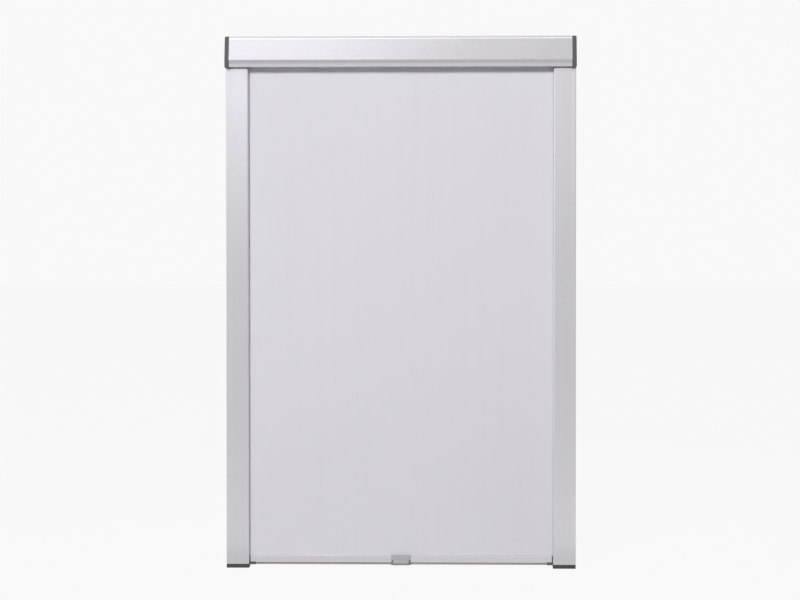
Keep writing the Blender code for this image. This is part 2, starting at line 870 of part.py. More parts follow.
def make_bar_seal(carriage, material):
    neck = bar_slot / 2 - fit_gap
    bulb = seal_bulb_width / 2
    floor = bar_wall + fit_gap
    side = [
        (-seal_tip / 2, -seal_drop, seal_tip / 4),
        (-neck, -fit_gap, 0),
        (-neck, floor, 0),
        (-bulb, floor, 0),
        (-bulb, floor + seal_bulb_height, seal_bulb_height / 3),
    ]
    section = side + [(-y, z, radius) for y, z, radius in reversed(side)]
    half = bar_half - guide_foot - fit_gap
    piece("bar_seal", extruded([rounded(section)], "x", -half, half), material, parent=carriage)


def shoe_limits():
    # The shoe's front and back, from the fabric's plane.
    channel_front = fabric_plane - (rail_depth - rail_wall)
    channel_back = fabric_plane - rail_wall
    pocket_floor = channel_front + 2 * fit_gap + leaf_bow + leaf_thickness
    return pocket_floor - leaf_pocket, channel_back - slide_gap, pocket_floor


def make_bar_guide(side, word, carriage, material, steel):
    front, back, pocket_floor = shoe_limits()
    stop_top = foot_stop_height - fit_gap
    shoe_foot = stop_top + fit_gap + seal_overhang - seal_drop
    shoe_top = shoe_foot + shoe_height
    shoe_inner = rail_inner + throat_length + slide_gap
    shoe_outer = rail_inner + web_start - slide_gap
    outline = box_corners((front, shoe_foot), (back, shoe_top), bar_radius)
    shoe = extruded([rounded(outline)], "x", side * shoe_inner, side * shoe_outer)
    guide = piece(f"bar_guide_{word}", shoe, material, parent=carriage)

    plate = box_corners((-bar_depth / 2, -seal_drop), (bar_depth / 2, bar_height), bar_radius)
    add(guide, extruded([rounded(plate)], "x", side * guide_inner, side * guide_outer))
    neck = box_corners((-neck_width / 2, 0), (neck_width / 2, bar_height - neck_drop))
    embed = guide_plate / 2
    root = side * (guide_inner + embed)
    add(guide, extruded([rounded(neck)], "x", root, side * (shoe_inner + embed)))
    low = bar_wall + seal_bulb_height + 2 * fit_gap
    high = hem_axis - hem_groove_radius - bar_wall - fit_gap
    inset = bar_depth / 2 - bar_wall - fit_gap
    spigot = box_corners((-inset, low), (inset, high))
    add(guide, extruded([rounded(spigot)], "x", side * (bar_half - guide_spigot), root))
    toe_back = -bar_depth / 2 - fit_gap
    foot = [
        (toe_back - guide_toe, -seal_drop, seal_tip / 4),
        (guide_foot_depth / 2, -seal_drop, seal_tip / 4),
        (guide_foot_depth / 2, -fit_gap, 0),
        (toe_back, -fit_gap, 0),
        (toe_back, guide_toe_height, 0),
        (toe_back - guide_toe, guide_toe_height, guide_toe / 3),
    ]
    add(guide, extruded([rounded(foot)], "x", side * (bar_half - guide_foot), root))

    middle = (shoe_foot + shoe_top) / 2
    centre = (shoe_inner + shoe_outer) / 2
    reach = leaf_length / 2 + fit_gap
    spread = leaf_width / 2 + fit_gap
    pocket = box_corners((front - fit_gap, middle - reach), (pocket_floor, middle + reach))
    cut(guide, extruded([rounded(pocket)], "x", side * (centre - spread), side * (centre + spread)))
    make_brake_spring(side, word, carriage, steel, (centre, pocket_floor - fit_gap, middle))


def make_brake_spring(side, word, carriage, material, place):
    # A bowed leaf whose ends press on the shoe and whose crown presses on the rail.
    centre, seat, middle = place
    steps = 8
    shares = [2 * i / steps - 1 for i in range(steps + 1)]
    back = [(seat - leaf_bow * (1 - t * t), middle + leaf_length / 2 * t) for t in shares]
    front = [(y - leaf_thickness, z) for y, z in reversed(back)]
    reach = leaf_width / 2
    shape = extruded([back + front], "x", side * (centre - reach), side * (centre + reach))
    piece(f"brake_spring_{word}", shape, material, parent=carriage)


def make_grip(carriage, material):
    # A clip over the bar's front edge, with a scooped face that ends in a finger lip.
    seat = -bar_depth / 2 - fit_gap
    plate = seat - grip_wall
    top = bar_height + fit_gap
    tip = plate - grip_reach
    scoop = grip_reach
    bottom = -seal_drop
    clip = [
        (seat + grip_hook, top + grip_wall / 2, 0),
        (seat + grip_hook, top, 0),
        (seat, top, 0),
        (seat, -fit_gap, 0),
        (seat + grip_hook, -fit_gap, 0),
        (seat + grip_hook, -fit_gap - grip_wall / 2, 0),
        (seat, bottom, grip_wall / 2),
        (tip, bottom, grip_lip / 3),
        (tip, bottom + grip_lip, grip_lip / 3),
    ]
    rise = math.asin(grip_lip_land / scoop) - math.pi / 2
    face = arc((tip, bottom + grip_lip + scoop), scoop, rise, 0, 10)
    section = rounded(clip + sharp(face) + [(plate, top + grip_wall / 2, grip_wall / 2)])
    shape = extruded([section], "x", -grip_width / 2, grip_width / 2)
    for level in (-grip_width / 2, grip_width / 2):
        bevel_rim(shape, 0, level, grip_wall / 6, 1)
    grip = piece("pull_grip", shape, material, parent=carriage)

    # A slit beside each cheek, cut from the front and from below down to a thin back wall.
    slit_floor = seat - grip_wall / 2
    slit = box_corners((tip - fit_gap, bottom - fit_gap), (slit_floor, bottom + grip_slit_height))
    start = grip_width / 2 - grip_cheek - grip_slit_width
    slits = [
        extruded([rounded(slit)], "x", side * start, side * (start + grip_slit_width)) for side in (-1, 1)
    ]
    cut(grip, gathered(slits))


def build():
    clear_scene()
    aluminium = finish("satin_aluminium", aluminium_colour, 0.38, 0.9)
    bar_metal = finish("bar_aluminium", bar_colour, 0.42, 0.9)
    dark_plastic = finish("dark_plastic", plastic_colour, 0.5)
    grip_plastic = finish("grip_plastic", grip_colour, 0.45)
    steel = finish("spring_steel", steel_colour, 0.35, 1.0)
    zinc = finish("zinc_plate", zinc_colour, 0.4, 1.0)
    nylon = finish("white_nylon", nylon_colour, 0.5)
    fabric = finish("blackout_fabric", fabric_colour, 0.85)
    rubber = finish("grey_rubber", rubber_colour, 0.7)
    pile = finish("pile", pile_colour, 1.0)

    cassette = empty("cassette", (0, 0, header_top))
    roller_axis = empty("roller_axis", (0, roller_y, roller_z))
    carriage = empty("bar_carriage", (0, -fabric_plane, bar_underside))

    make_header(cassette, aluminium)
    make_roller(roller_axis, aluminium, nylon)
    make_axles(roller_axis, steel, nylon)
    make_spring(roller_axis, steel)
    make_fabric_roll(roller_axis, fabric)
    make_fabric_sheet(fabric)
    make_bottom_bar(carriage, bar_metal)
    make_hem_strip(carriage, fabric)
    make_bar_seal(carriage, rubber)
    make_grip(carriage, grip_plastic)
    for side, word in ((-1, "left"), (1, "right")):
        make_end_cap(side, f"header_end_cap_{word}", cassette, dark_plastic)
        make_cap_screws(side, word, cassette, zinc)
        make_bracket(side, word, cassette, zinc)
        make_rail(side, word, aluminium)
        for facing in (-1, 1):
            make_pile_seal(side, word, facing, pile)
        make_foot_cap(side, word, dark_plastic)
        make_bar_guide(side, word, carriage, dark_plastic, steel)


build()
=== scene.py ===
# Roof window roller blind: finished metal, moulded parts and cloth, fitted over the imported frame.

import json
import math
import bmesh
import bpy
from mathutils import Matrix, Vector, noise

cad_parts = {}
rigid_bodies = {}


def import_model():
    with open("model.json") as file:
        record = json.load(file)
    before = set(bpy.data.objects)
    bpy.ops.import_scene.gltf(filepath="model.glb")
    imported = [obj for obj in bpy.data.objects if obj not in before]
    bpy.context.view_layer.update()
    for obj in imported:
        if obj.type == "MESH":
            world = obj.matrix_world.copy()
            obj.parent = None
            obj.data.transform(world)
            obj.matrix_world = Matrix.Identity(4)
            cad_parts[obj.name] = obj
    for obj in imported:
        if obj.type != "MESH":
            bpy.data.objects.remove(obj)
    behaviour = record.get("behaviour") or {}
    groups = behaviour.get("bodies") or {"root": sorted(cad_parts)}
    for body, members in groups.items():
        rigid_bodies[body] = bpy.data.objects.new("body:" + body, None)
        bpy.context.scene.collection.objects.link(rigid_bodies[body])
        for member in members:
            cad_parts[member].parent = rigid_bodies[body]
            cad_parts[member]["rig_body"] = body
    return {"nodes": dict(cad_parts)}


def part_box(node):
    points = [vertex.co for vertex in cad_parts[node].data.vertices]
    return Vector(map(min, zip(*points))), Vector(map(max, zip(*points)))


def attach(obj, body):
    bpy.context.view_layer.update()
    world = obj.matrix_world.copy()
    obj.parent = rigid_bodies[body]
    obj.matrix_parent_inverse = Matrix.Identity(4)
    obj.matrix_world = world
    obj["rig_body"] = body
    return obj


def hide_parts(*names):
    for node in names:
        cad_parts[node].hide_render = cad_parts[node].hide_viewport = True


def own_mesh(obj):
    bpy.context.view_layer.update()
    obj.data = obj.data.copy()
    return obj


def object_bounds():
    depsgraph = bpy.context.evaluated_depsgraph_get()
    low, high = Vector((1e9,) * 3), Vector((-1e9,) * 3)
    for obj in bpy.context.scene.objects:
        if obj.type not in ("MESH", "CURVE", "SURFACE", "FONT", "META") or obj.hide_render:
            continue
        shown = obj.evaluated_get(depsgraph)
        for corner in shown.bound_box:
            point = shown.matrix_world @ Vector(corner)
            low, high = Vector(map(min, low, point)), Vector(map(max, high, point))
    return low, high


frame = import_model()
cadBox = [list(corner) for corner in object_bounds()]
nodes = frame["nodes"]

mergeDistance = 1e-6
shortEdge = 2e-5  # corners nearer than this would spoil a bevel, so they are joined
flatAngle = math.radians(0.5)  # faces nearer than this to one plane are one face
sharpAngle = math.radians(35)


def addNode(tree, kind, **settings):
    node = tree.nodes.new(kind)
    for name, value in settings.items():
        setattr(node, name, value)
    return node


def feed(tree, socket, source):
    # Wires an output to the socket, or sets the socket to a plain value
    if isinstance(source, bpy.types.NodeSocket):
        tree.links.new(source, socket)
    else:
        socket.default_value = source


def calc(tree, operation, *values):
    node = addNode(tree, "ShaderNodeMath", operation=operation)
    for socket, value in zip(node.inputs, values):
        feed(tree, socket, value)
    return node.outputs[0]


def spread(tree, value, low, high, newLow=0.0, newHigh=1.0):
    # Moves the span from low to high onto the span from newLow to newHigh
    node = addNode(tree, "ShaderNodeMapRange")
    feed(tree, node.inputs["Value"], value)
    feed(tree, node.inputs["From Min"], low)
    feed(tree, node.inputs["From Max"], high)
    feed(tree, node.inputs["To Min"], newLow)
    feed(tree, node.inputs["To Max"], newHigh)
    return node.outputs["Result"]


def scaled(tree, place, factors):
    node = addNode(tree, "ShaderNodeVectorMath", operation="MULTIPLY")
    feed(tree, node.inputs[0], place)
    feed(tree, node.inputs[1], factors)
    return node.outputs[0]


def noiseAt(tree, place, scale=1.0, detail=2.0, roughness=0.5):
    node = addNode(tree, "ShaderNodeTexNoise")
    feed(tree, node.inputs["Vector"], place)
    feed(tree, node.inputs["Scale"], scale)
    feed(tree, node.inputs["Detail"], detail)
    feed(tree, node.inputs["Roughness"], roughness)
    return node.outputs[0]


def mixColour(tree, factor, first, second):
    node = addNode(tree, "ShaderNodeMix", data_type="RGBA")
    feed(tree, node.inputs[0], factor)
    feed(tree, node.inputs[6], first)
    feed(tree, node.inputs[7], second)
    return node.outputs[2]


def bump(tree, height, distance, strength, normal=None):
    node = addNode(tree, "ShaderNodeBump")
    feed(tree, node.inputs["Height"], height)
    feed(tree, node.inputs["Distance"], distance)
    feed(tree, node.inputs["Strength"], strength)
    if normal:
        feed(tree, node.inputs["Normal"], normal)
    return node.outputs["Normal"]


def newGroup(name, inputs, outputs):
    group = bpy.data.node_groups.new(name, "ShaderNodeTree")
    kinds = {"v": "NodeSocketVector", "f": "NodeSocketFloat"}
    for title, kind in inputs:
        group.interface.new_socket(name=title, in_out="INPUT", socket_type=kinds[kind])
    for title, kind in outputs:
        group.interface.new_socket(name=title, in_out="OUTPUT", socket_type=kinds[kind])
    start = addNode(group, "NodeGroupInput")
    end = addNode(group, "NodeGroupOutput")
    return group, start.outputs, end.inputs


def placeGroup(tree, group, **values):
    node = addNode(tree, "ShaderNodeGroup", node_tree=group)
    for title, value in values.items():
        feed(tree, node.inputs[title], value)
    return node.outputs


# A span below is the part of a noise that runs from none of an effect to all of it
dieMark = {
    "fineDetail": 3.0,
    "fineRoughness": 0.65,
    "fineShare": 0.6,
    "broadScale": 0.13,
    "span": (0.3, 0.7),
}


def makeDieLines():
    # The long faint lines that a die leaves along an extrusion, under the anodising
    group, given, result = newGroup(
        "dieLines", [("Place", "v"), ("Stretch", "v")], [("Lines", "f"), ("Height", "f")]
    )
    place = scaled(group, given["Place"], given["Stretch"])
    fine = noiseAt(group, place, 1.0, dieMark["fineDetail"], dieMark["fineRoughness"])
    broad = noiseAt(group, place, dieMark["broadScale"])
    finePart = calc(group, "MULTIPLY", fine, dieMark["fineShare"])
    broadPart = calc(group, "MULTIPLY", broad, 1 - dieMark["fineShare"])
    together = calc(group, "ADD", finePart, broadPart)
    feed(group, result["Lines"], spread(group, together, *dieMark["span"]))
    feed(group, result["Height"], fine)
    return group


handMark = {
    "detail": 4.0,
    "roughness": 0.6,
    "span": (0.42, 0.68),
    "speckScale": 55.0,  # against the scale of the smudges
    "speckSpan": (0.10, 0.04),
    "patchScale": 3.0,  # against the scale of the smudges
    "patchSpan": (0.5, 0.7),
}


def makeHandling():
    # Soft smudges from hands, and fine settled dust
    group, given, result = newGroup(
        "handling", [("Place", "v"), ("Scale", "f")], [("Smudge", "f"), ("Dust", "f")]
    )
    place, scale = given["Place"], given["Scale"]
    cloud = noiseAt(group, place, scale, handMark["detail"], handMark["roughness"])
    feed(group, result["Smudge"], spread(group, cloud, *handMark["span"]))
    specks = addNode(group, "ShaderNodeTexVoronoi", feature="F1")
    feed(group, specks.inputs["Vector"], place)
    feed(group, specks.inputs["Scale"], calc(group, "MULTIPLY", scale, handMark["speckScale"]))
    near = spread(group, specks.outputs["Distance"], *handMark["speckSpan"])
    uneven = noiseAt(group, place, calc(group, "MULTIPLY", scale, handMark["patchScale"]))
    patches = spread(group, uneven, *handMark["patchSpan"])
    feed(group, result["Dust"], calc(group, "MULTIPLY", near, patches))
    return group


edgeMark = {
    "detail": 4.0,
    "roughness": 0.7,
    "span": (0.4, 0.62),
}


def makeEdgeWear():
    # Broken brightening on the small rounds, which carry the edgeWear attribute
    group, given, result = newGroup("edgeWear", [("Place", "v"), ("Scale", "f")], [("Wear", "f")])
    edge = addNode(group, "ShaderNodeAttribute", attribute_name="edgeWear")
    cloud = noiseAt(
        group, given["Place"], given["Scale"], edgeMark["detail"], edgeMark["roughness"]
    )
    patches = spread(group, cloud, *edgeMark["span"])
    feed(group, result["Wear"], calc(group, "MULTIPLY", edge.outputs["Fac"], patches))
    return group


paintedShadeMark = {
    "detail": 3.0,
    "roughness": 0.6,
    "span": (0.3, 0.7),
    "least": 0.9,
}


def makePaintedShade():
    # Painted shade in hollows and under overhangs, made uneven by noise, from the attribute that
    # marks where it goes
    group, given, result = newGroup("grime", [("Place", "v"), ("Scale", "f")], [("Grime", "f")])
    hollow = addNode(group, "ShaderNodeAttribute", attribute_name="grime")
    cloud = noiseAt(
        group, given["Place"], given["Scale"], paintedShadeMark["detail"], paintedShadeMark["roughness"]
    )
    uneven = spread(group, cloud, *paintedShadeMark["span"], paintedShadeMark["least"], 1.0)
    feed(group, result["Grime"], calc(group, "MULTIPLY", hollow.outputs["Fac"], uneven))
    return group


grainMark = {
    "detail": 3.0,
    "roughness": 0.6,
    "roughScale": 1.7,  # against the scale of the pits
    "toneScale": 0.04,  # against the scale of the pits
}


def makeMouldGrain():
    # The spark-eroded skin of a moulded part
    group, given, result = newGroup(
        "mouldGrain", [("Place", "v"), ("Scale", "f")], [("Height", "f"), ("Tone", "f")]
    )
    place, scale = given["Place"], given["Scale"]
    pits = addNode(group, "ShaderNodeTexVoronoi", feature="SMOOTH_F1")
    feed(group, pits.inputs["Vector"], place)
    feed(group, pits.inputs["Scale"], scale)
    roughScale = calc(group, "MULTIPLY", scale, grainMark["roughScale"])
    rough = noiseAt(group, place, roughScale, grainMark["detail"], grainMark["roughness"])
    feed(group, result["Height"], calc(group, "ADD", pits.outputs["Distance"], rough))
    toneScale = calc(group, "MULTIPLY", scale, grainMark["toneScale"])
    feed(group, result["Tone"], noiseAt(group, place, toneScale, grainMark["detail"]))
    return group


threadMark = {
    "crossing": 0.25,  # how quickly one thread passes over the next
    "slubFine": 900,  # scales across a thread and along it
    "slubDrawn": 14,
    "gapSpan": (0.35, 0.75),
}


def makeWeave():
    # A plain weave on coordinates in metres: each thread goes over one and under the next
    group, given, result = newGroup(
        "weave", [("Place", "v"), ("Pitch", "f")], [("Height", "f"), ("Slub", "f"), ("Gap", "f")]
    )
    place = given["Place"]
    split = addNode(group, "ShaderNodeSeparateXYZ")
    feed(group, split.inputs[0], place)
    turn = calc(group, "DIVIDE", math.pi, given["Pitch"])
    warpWave = calc(group, "SINE", calc(group, "MULTIPLY", split.outputs[0], turn))
    weftWave = calc(group, "SINE", calc(group, "MULTIPLY", split.outputs[1], turn))
    warp = calc(group, "ABSOLUTE", warpWave)
    weft = calc(group, "ABSOLUTE", weftWave)
    both = calc(group, "MULTIPLY", warpWave, weftWave)
    over = spread(group, both, -threadMark["crossing"], threadMark["crossing"])
    lifted = addNode(group, "ShaderNodeMix", data_type="FLOAT")
    feed(group, lifted.inputs[0], over)
    feed(group, lifted.inputs[2], weft)
    feed(group, lifted.inputs[3], warp)
    feed(group, result["Height"], lifted.outputs[0])
    fine, drawn = threadMark["slubFine"], threadMark["slubDrawn"]
    along = noiseAt(group, scaled(group, place, (fine, drawn, 1)))
    across = noiseAt(group, scaled(group, place, (drawn, fine, 1)))
    feed(group, result["Slub"], calc(group, "DIVIDE", calc(group, "ADD", along, across), 2.0))
    highest = calc(group, "MAXIMUM", warp, weft)
    feed(group, result["Gap"], spread(group, highest, *threadMark["gapSpan"], 1.0, 0.0))
    return group


dieLines = makeDieLines()
handling = makeHandling()
edgeWear = makeEdgeWear()
grime = makePaintedShade()
mouldGrain = makeMouldGrain()
weave = makeWeave()
print("shared effects ready")


def newSurface(name, **values):
    material = bpy.data.materials.new(name)
    material.use_nodes = True
    tree = material.node_tree
    shader = tree.nodes["Principled BSDF"]
    for title, value in values.items():
        shader.inputs[title].default_value = value
    place = addNode(tree, "ShaderNodeTexCoord").outputs["Object"]
    return material, tree, shader.inputs, place


def shade(colour, factor):
    return (*[channel * factor for channel in colour[:3]], 1.0)


def makeAnodised(name, look):
    material, tree, shader, place = newSurface(name, Metallic=1.0)
    lines = placeGroup(tree, dieLines, Place=place, Stretch=look["stretch"])
    marks = placeGroup(tree, handling, Place=place, Scale=look["smudgeScale"])
    wear = placeGroup(tree, edgeWear, Place=place, Scale=look["wearScale"])["Wear"]
    paintedDark = placeGroup(tree, grime, Place=place, Scale=look["paintedShadeScale"])["Grime"]

    colour = look["colour"]
    toned = mixColour(tree, lines["Lines"], colour, shade(colour, look["lineShade"]))
    dust = calc(tree, "MULTIPLY", marks["Dust"], look["dust"])
    dusty = mixColour(tree, dust, toned, look["dustColour"])
    worn = mixColour(
        tree, calc(tree, "MULTIPLY", wear, look["wear"]), dusty, shade(colour, look["wornShade"])
    )
    # Painted shade darkens the colour where the attribute marks it
    final = mixColour(tree, paintedDark, worn, shade(colour, look["paintedShadeFactor"]))
    feed(tree, shader["Base Color"], final)

    lineRough = spread(tree, lines["Lines"], 0.0, 1.0, *look["roughness"])
    smudge = calc(tree, "MULTIPLY", marks["Smudge"], look["smudgeRough"])
    feed(tree, shader["Roughness"], calc(tree, "ADD", lineRough, smudge))
    feed(tree, shader["Normal"], bump(tree, lines["Height"], look["lineDepth"], look["lineBump"]))
    return material


def makeMoulded(name, look):
    material, tree, shader, place = newSurface(name, IOR=look["ior"])
    grain = placeGroup(tree, mouldGrain, Place=place, Scale=look["grainScale"])
    marks = placeGroup(tree, handling, Place=place, Scale=look["smudgeScale"])
    wear = placeGroup(tree, edgeWear, Place=place, Scale=look["wearScale"])["Wear"]
    paintedDark = placeGroup(tree, grime, Place=place, Scale=look["paintedShadeScale"])["Grime"]

    colour = look["colour"]
    darker, paler = look["tones"]
    toned = mixColour(tree, grain["Tone"], shade(colour, darker), shade(colour, paler))
    worn = mixColour(tree, calc(tree, "MULTIPLY", wear, look["wear"]), toned, look["wornColour"])
    dust = calc(tree, "MULTIPLY", marks["Dust"], look["dust"])
    dusty = mixColour(tree, dust, worn, look["dustColour"])
    # Painted shade darkens the colour where the attribute marks it
    final = mixColour(tree, paintedDark, dusty, shade(colour, look["paintedShadeFactor"]))
    feed(tree, shader["Base Color"], final)

    feed(tree, shader["Roughness"], spread(tree, marks["Smudge"], 0.0, 1.0, *look["roughness"]))
    feed(tree, shader["Normal"], bump(tree, grain["Height"], look["grainDepth"], look["grainBump"]))
    return material


def makeSteel(name, look):
    material, tree, shader, place = newSurface(name, Metallic=1.0)
    lines = placeGroup(tree, dieLines, Place=place, Stretch=look["stretch"])
    marks = placeGroup(tree, handling, Place=place, Scale=look["patchScale"])
    wear = placeGroup(tree, edgeWear, Place=place, Scale=look["wearScale"])["Wear"]

    colour = look["colour"]
    toned = mixColour(tree, marks["Smudge"], colour, look["patchColour"])
    line = calc(tree, "MULTIPLY", lines["Lines"], look["line"])
    lined = mixColour(tree, line, toned, shade(colour, look["lineShade"]))
    worn = mixColour(
        tree, calc(tree, "MULTIPLY", wear, look["wear"]), lined, shade(colour, look["wornShade"])
    )
    feed(tree, shader["Base Color"], worn)

    feed(tree, shader["Roughness"], spread(tree, marks["Smudge"], 0.0, 1.0, *look["roughness"]))
    feed(tree, shader["Normal"], bump(tree, lines["Height"], look["lineDepth"], look["lineBump"]))
    return material


def makeCloth(name, look):
    material, tree, shader, place = newSurface(name, IOR=look["ior"])
    shader["Sheen Weight"].default_value = look["sheen"]
    shader["Sheen Roughness"].default_value = look["sheenRough"]
    flat = addNode(tree, "ShaderNodeTexCoord").outputs["UV"]
    threads = placeGroup(tree, weave, Place=flat, Pitch=look["pitch"])
    cloudPlace = scaled(tree, flat, look["cloudScale"])
    cloud = noiseAt(tree, cloudPlace, 1.0, look["cloudDetail"], look["cloudRough"])
    streaks = noiseAt(tree, scaled(tree, flat, look["streakScale"]))

    colour = look["colour"]
    toned = mixColour(tree, spread(tree, cloud, *look["cloudSpan"]), colour, look["cloudColour"])
    streak = calc(tree, "MULTIPLY", spread(tree, streaks, *look["streakSpan"]), look["streak"])
    striped = mixColour(tree, streak, toned, shade(colour, look["streakShade"]))
    slub = spread(tree, threads["Slub"], *look["slubSpan"])
    slubbed = mixColour(tree, slub, striped, shade(colour, look["slubShade"]))
    gap = calc(tree, "MULTIPLY", threads["Gap"], look["gap"])
    feed(tree, shader["Base Color"], mixColour(tree, gap, slubbed, shade(colour, look["gapShade"])))

    rough = spread(tree, cloud, *look["cloudSpan"], *look["roughness"])
    feed(tree, shader["Roughness"], rough)
    woven = bump(tree, threads["Height"], look["threadDepth"], look["threadBump"])
    uneven = bump(tree, threads["Slub"], look["threadDepth"], look["slubBump"], woven)
    feed(tree, shader["Normal"], uneven)
    return material


def makeRubber(name, look):
    material, tree, shader, place = newSurface(name, IOR=look["ior"])
    grain = placeGroup(tree, mouldGrain, Place=place, Scale=look["grainScale"])
    lines = placeGroup(tree, dieLines, Place=place, Stretch=look["stretch"])
    marks = placeGroup(tree, handling, Place=place, Scale=look["smudgeScale"])

    colour = look["colour"]
    darker, paler = look["tones"]
    toned = mixColour(tree, lines["Lines"], shade(colour, darker), shade(colour, paler))
    dust = calc(tree, "MULTIPLY", marks["Dust"], look["dust"])
    feed(tree, shader["Base Color"], mixColour(tree, dust, toned, look["dustColour"]))

    feed(tree, shader["Roughness"], spread(tree, marks["Smudge"], 0.0, 1.0, *look["roughness"]))
    feed(tree, shader["Normal"], bump(tree, grain["Height"], look["grainDepth"], look["grainBump"]))
    return material


def makePile(name, look):
    # Packed upright fibres, seen as fine specks that run along the strip
    material, tree, shader, place = newSurface(name, Roughness=look["roughness"])
    shader["Sheen Weight"].default_value = look["sheen"]
    fibrePlace = scaled(tree, place, look["fibreScale"])
    fibres = noiseAt(tree, fibrePlace, roughness=look["fibreRough"])
    tufts = noiseAt(tree, scaled(tree, place, look["tuftScale"]), roughness=look["tuftRough"])

    colour = look["colour"]
    darker, paler = look["tones"]
    speck = spread(tree, fibres, *look["span"])
    toned = mixColour(tree, speck, shade(colour, darker), shade(colour, paler))
    tuft = spread(tree, tufts, *look["span"], 0.0, look["tuft"])
    feed(tree, shader["Base Color"], mixColour(tree, tuft, toned, shade(colour, look["tuftShade"])))
    feed(tree, shader["Normal"], bump(tree, fibres, look["fibreDepth"], look["fibreBump"]))
    return material


# Shades and tones in the looks below multiply the look's own colour
aluminiumLook = {
    "colour": (0.57, 0.56, 0.592, 1.0),
    "lineShade": 0.96,
    "lineDepth": 0.00002,
    "lineBump": 0.5,
    "dust": 0.25,
    "dustColour": (0.72, 0.71, 0.70, 1.0),
    "roughness": (0.25, 0.28),
    "smudgeRough": 0.03,
    "smudgeScale": 7.0,
    "wear": 0.55,
    "wearScale": 90.0,
    "wornShade": 1.22,
    # how far painted shade darkens the colour
    "paintedShadeFactor": 0.72,
    "paintedShadeScale": 30.0,
}
alongX = (5.0, 2400.0, 2400.0)
alongZ = (2400.0, 2400.0, 5.0)
headerMetal = makeAnodised("headerMetal", {**aluminiumLook, "stretch": alongX})
railMetal = makeAnodised("railMetal", {
    **aluminiumLook,
    "stretch": alongZ,
    "colour": (0.578, 0.568, 0.601, 1.0),
    "roughness": (0.23, 0.26),
})
barMetal = makeAnodised("barMetal", {
    **aluminiumLook,
    "stretch": alongX,
    "colour": (0.64, 0.605, 0.635, 1.0),
})

mouldedLook = {
    "ior": 1.49,
    "tones": (0.93, 1.08),
    "wearScale": 140.0,
    "paintedShadeScale": 200.0,
    "grainBump": 0.6,
}
capLook = {
    **mouldedLook,
    "colour": (0.085, 0.083, 0.087),
    "wornColour": (0.20, 0.20, 0.20, 1.0),
    "dustColour": (0.42, 0.41, 0.40, 1.0),
    "dust": 0.35,
    "wear": 0.5,
    "grainScale": 1700.0,
    "grainDepth": 0.00005,
    "smudgeScale": 22.0,
    "roughness": (0.42, 0.55),
    # how far painted shade darkens the colour
    "paintedShadeFactor": 0.35,
}
capPlastic = makeMoulded("capPlastic", capLook)
footPlastic = makeMoulded("footPlastic", {
    **capLook,
    "colour": (0.045, 0.044, 0.046),
    "dust": 0.15,
})
gripPlastic = makeMoulded("gripPlastic", {
    **mouldedLook,
    "colour": (0.435, 0.425, 0.45),
    "wornColour": (0.50, 0.49, 0.50, 1.0),
    "dustColour": (0.55, 0.54, 0.52, 1.0),
    "dust": 0.2,
    "wear": 0.5,
    "grainScale": 1900.0,
    "grainDepth": 0.00004,
    "smudgeScale": 40.0,
    "roughness": (0.36, 0.5),
    # how far painted shade darkens the colour
    "paintedShadeFactor": 0.3,
})
nylon = makeMoulded("nylon", {
    **mouldedLook,
    "colour": (0.70, 0.70, 0.67),
    "wornColour": (0.78, 0.78, 0.76, 1.0),
    "dustColour": (0.45, 0.44, 0.42, 1.0),
    "dust": 0.3,
    "wear": 0.3,
    "grainScale": 1500.0,
    "grainDepth": 0.00003,
    "smudgeScale": 25.0,
    "roughness": (0.4, 0.52),
    "paintedShadeFactor": 0.7,
})

steelLook = {
    "line": 0.3,
    "lineShade": 0.75,
    "lineDepth": 0.00002,
    "lineBump": 0.4,
    "wear": 0.6,
    "wearScale": 160.0,
    "wornShade": 1.4,
}
springSteel = makeSteel("springSteel", {
    **steelLook,
    "colour": (0.50, 0.49, 0.48, 1.0),
    "patchColour": (0.40, 0.38, 0.36, 1.0),
    "patchScale": 30.0,
    "stretch": (120.0, 2600.0, 2600.0),
    "roughness": (0.28, 0.4),
})
zincPlate = makeSteel("zincPlate", {
    **steelLook,
    "colour": (0.66, 0.67, 0.66, 1.0),
    "patchColour": (0.58, 0.60, 0.62, 1.0),
    "patchScale": 60.0,
    "stretch": (500.0, 500.0, 900.0),
    "roughness": (0.3, 0.45),
})

clothLook = {
    "colour": (0.705, 0.69, 0.74, 1.0),
    "cloudColour": (0.725, 0.71, 0.755, 1.0),
    "cloudScale": (5.0, 2.2, 1.0),
    "cloudDetail": 3.0,
    "cloudRough": 0.55,
    "cloudSpan": (0.3, 0.7),
    "streak": 0.5,
    "streakScale": (60.0, 1.5, 1.0),
    "streakSpan": (0.45, 0.75),
    "streakShade": 0.975,
    "slubSpan": (0.4, 0.62),
    "slubShade": 1.02,
    "pitch": 0.00042,
    "gap": 0.12,
    "gapShade": 0.6,
    "threadDepth": 0.00005,
    "threadBump": 0.5,
    "slubBump": 0.6,
    "roughness": (0.78, 0.86),
    "sheen": 0.12,
    "sheenRough": 0.5,
    "ior": 1.42,
}
blackoutCloth = makeCloth("blackoutCloth", clothLook)
hemCloth = makeCloth("hemCloth", {**clothLook, "colour": (0.80, 0.78, 0.82, 1.0), "gap": 0.2})

